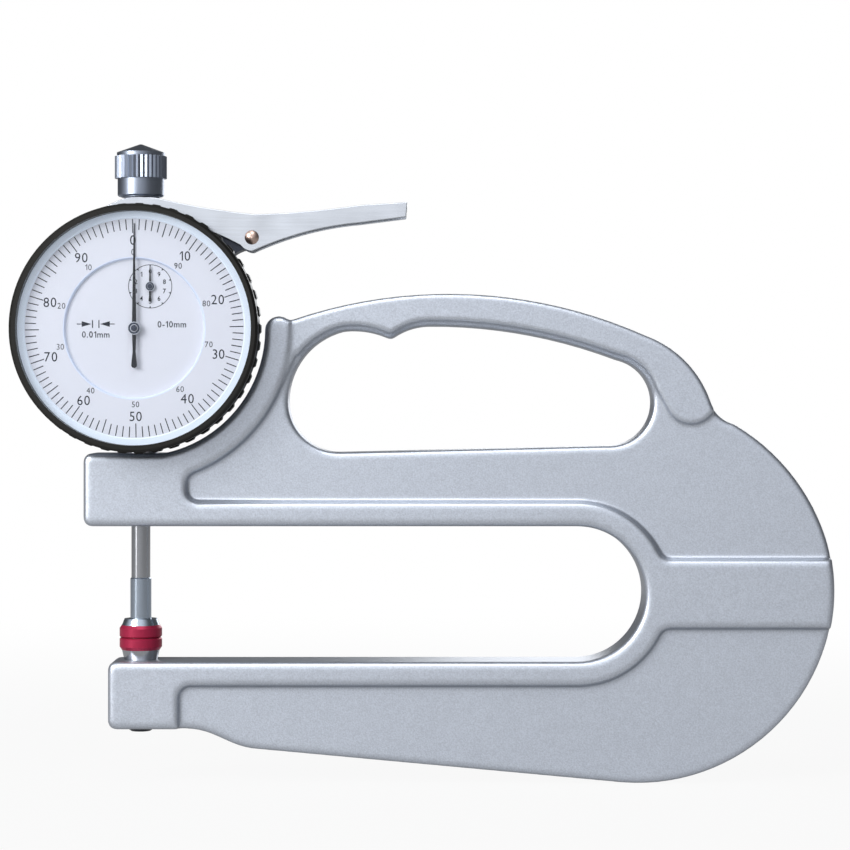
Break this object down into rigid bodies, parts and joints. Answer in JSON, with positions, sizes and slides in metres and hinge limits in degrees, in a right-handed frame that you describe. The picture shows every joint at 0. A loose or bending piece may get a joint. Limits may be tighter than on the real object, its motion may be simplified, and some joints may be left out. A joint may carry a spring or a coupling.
{
  "type": "dial thickness gauge",
  "caption": "Deep-throat thickness gauge: cast frame with a grip, plunger dial indicator, flat contacts and a thumb lever that lifts the spindle.",
  "frame": {"origin": "centre of the anvil's measuring face", "axes": "+Z along the spindle, upwards; the dial faces -Y; the throat runs towards +X"},
  "size_m": [0.1943, 0.0266, 0.152],
  "materials": {
    "cast_paint": "hammered silver paint on a casting",
    "ground_steel": "ground and polished",
    "dark_steel": "blackened",
    "satin_chrome": "satin",
    "bright_chrome": "polished",
    "red_ring": "red anodised",
    "black_bezel": "black anodised, satin",
    "dial_white": "matt printed enamel",
    "pale_ring": "matt",
    "glass": "clear",
    "copper_nickel": "polished",
    "dark_bracket": "dark grey",
    "brass": "fine brushed",
    "ruby": "polished synthetic jewel",
    "pointer_black": "matt black"
  },
  "bodies": {
    "frame": {"frame": "cast_paint", "anvil": "ground_steel", "anvil_ring": "red_ring", "anvil_screw": "dark_steel", "stem_clamp_screw": "dark_steel", "indicator_case": "satin_chrome", "stem": "ground_steel", "upper_bush": "satin_chrome", "back_cover": "satin_chrome", "back_cover_screws": "ground_steel", "bezel_retaining_wire": "ground_steel", "inner_dial": "dial_white", "lever_bracket": "dark_bracket", "bracket_screws": "dark_steel", "movement_plate": "brass", "gear_bridge": "brass", "rear_bridge": "brass", "front_pillars": "brass", "rear_pillars": "brass", "bridge_screws": "ground_steel", "jewel_bearings": "ruby", "hairspring": "ground_steel", "hairspring_stud": "brass", "spring_peg": "ground_steel", "return_spring": "ground_steel"},
    "bezel": {"bezel": "black_bezel", "dial_ring": "dial_white", "crystal_seat_ring": "pale_ring", "crystal": "glass"},
    "spindle": {"spindle": "ground_steel", "contact_tip": "ground_steel", "contact_ring": "red_ring", "lifting_knob": "satin_chrome", "guide_pin": "ground_steel", "spring_hook_pin": "ground_steel"},
    "lever": {"lift_lever": "bright_chrome", "lever_pin": "copper_nickel"},
    "pointer": {"centre_arbor": "ground_steel", "pointer": "pointer_black"},
    "counter": {"counter_arbor": "ground_steel", "take_up_wheel": "brass", "hairspring_collet": "brass", "counter_hand": "pointer_black"},
    "rack_gear": {"rack_arbor": "ground_steel", "rack_wheel": "brass"}
  },
  "joints": [
    {"name": "spindle_lift", "type": "slide", "parent": "frame", "child": "spindle", "axis": [0, 0, 1], "range_m": [0, 0.01], "stiffness_N_per_m": 60, "springref_m": -0.015, "deforming": ["return_spring"]},
    {"name": "lever_swing", "type": "hinge", "parent": "frame", "child": "lever", "pos_m": [0.0268, 0, 0.0952], "axis": [0, 1, 0], "range_deg": [0, 21.4]},
    {"name": "pointer_turn", "type": "hinge", "parent": "frame", "child": "pointer", "pos_m": [0, 0, 0.0734], "axis": [0, 1, 0], "range_deg": [0, 3600]},
    {"name": "counter_turn", "type": "hinge", "parent": "frame", "child": "counter", "pos_m": [0.00364, 0, 0.08319], "axis": [0, -1, 0], "range_deg": [0, 360]},
    {"name": "rack_gear_turn", "type": "hinge", "parent": "frame", "child": "rack_gear", "pos_m": [-0.00364, 0, 0.06361], "axis": [0, -1, 0], "range_deg": [0, 360]},
    {"name": "bezel_turn", "type": "hinge", "parent": "frame", "child": "bezel", "pos_m": [0, 0, 0.0734], "axis": [0, -1, 0], "continuous": true}
  ],
  "couplings": [
    {"joint": "lever_swing", "follows": "spindle_lift", "rad_per_m": 37.313},
    {"joint": "pointer_turn", "follows": "spindle_lift", "rad_per_m": 6283.2},
    {"joint": "counter_turn", "follows": "spindle_lift", "rad_per_m": 628.32},
    {"joint": "rack_gear_turn", "follows": "spindle_lift", "rad_per_m": 628.32}
  ]
}
